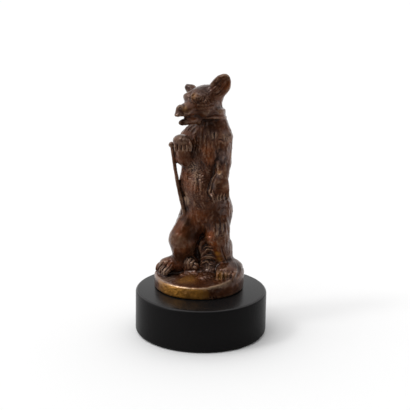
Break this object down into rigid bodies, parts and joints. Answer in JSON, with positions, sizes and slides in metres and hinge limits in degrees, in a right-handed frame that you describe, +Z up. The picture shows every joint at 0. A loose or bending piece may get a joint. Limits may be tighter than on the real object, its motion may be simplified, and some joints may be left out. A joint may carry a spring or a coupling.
{
  "type": "bear sculpture",
  "caption": "Small cast bronze bear standing upright with a collar and a staff, one paw raised, on a round terrace set on a black disc plinth.",
  "frame": {"origin": "centre of the plinth's flat underside", "axes": "+Z up along the standing bear, the viewer at -Y, +X to the viewer's right"},
  "size_m": [0.0762, 0.0762, 0.1524],
  "materials": {
    "bronze": "cast bronze with a dark brown patina, greyish where rubbed, golden on the worn rim",
    "ebonised_wood": "turned wood, ebonised black, with a satin lacquer"
  },
  "bodies": {
    "root": {"bear": "bronze", "plinth": "ebonised_wood"}
  },
  "joints": []
}
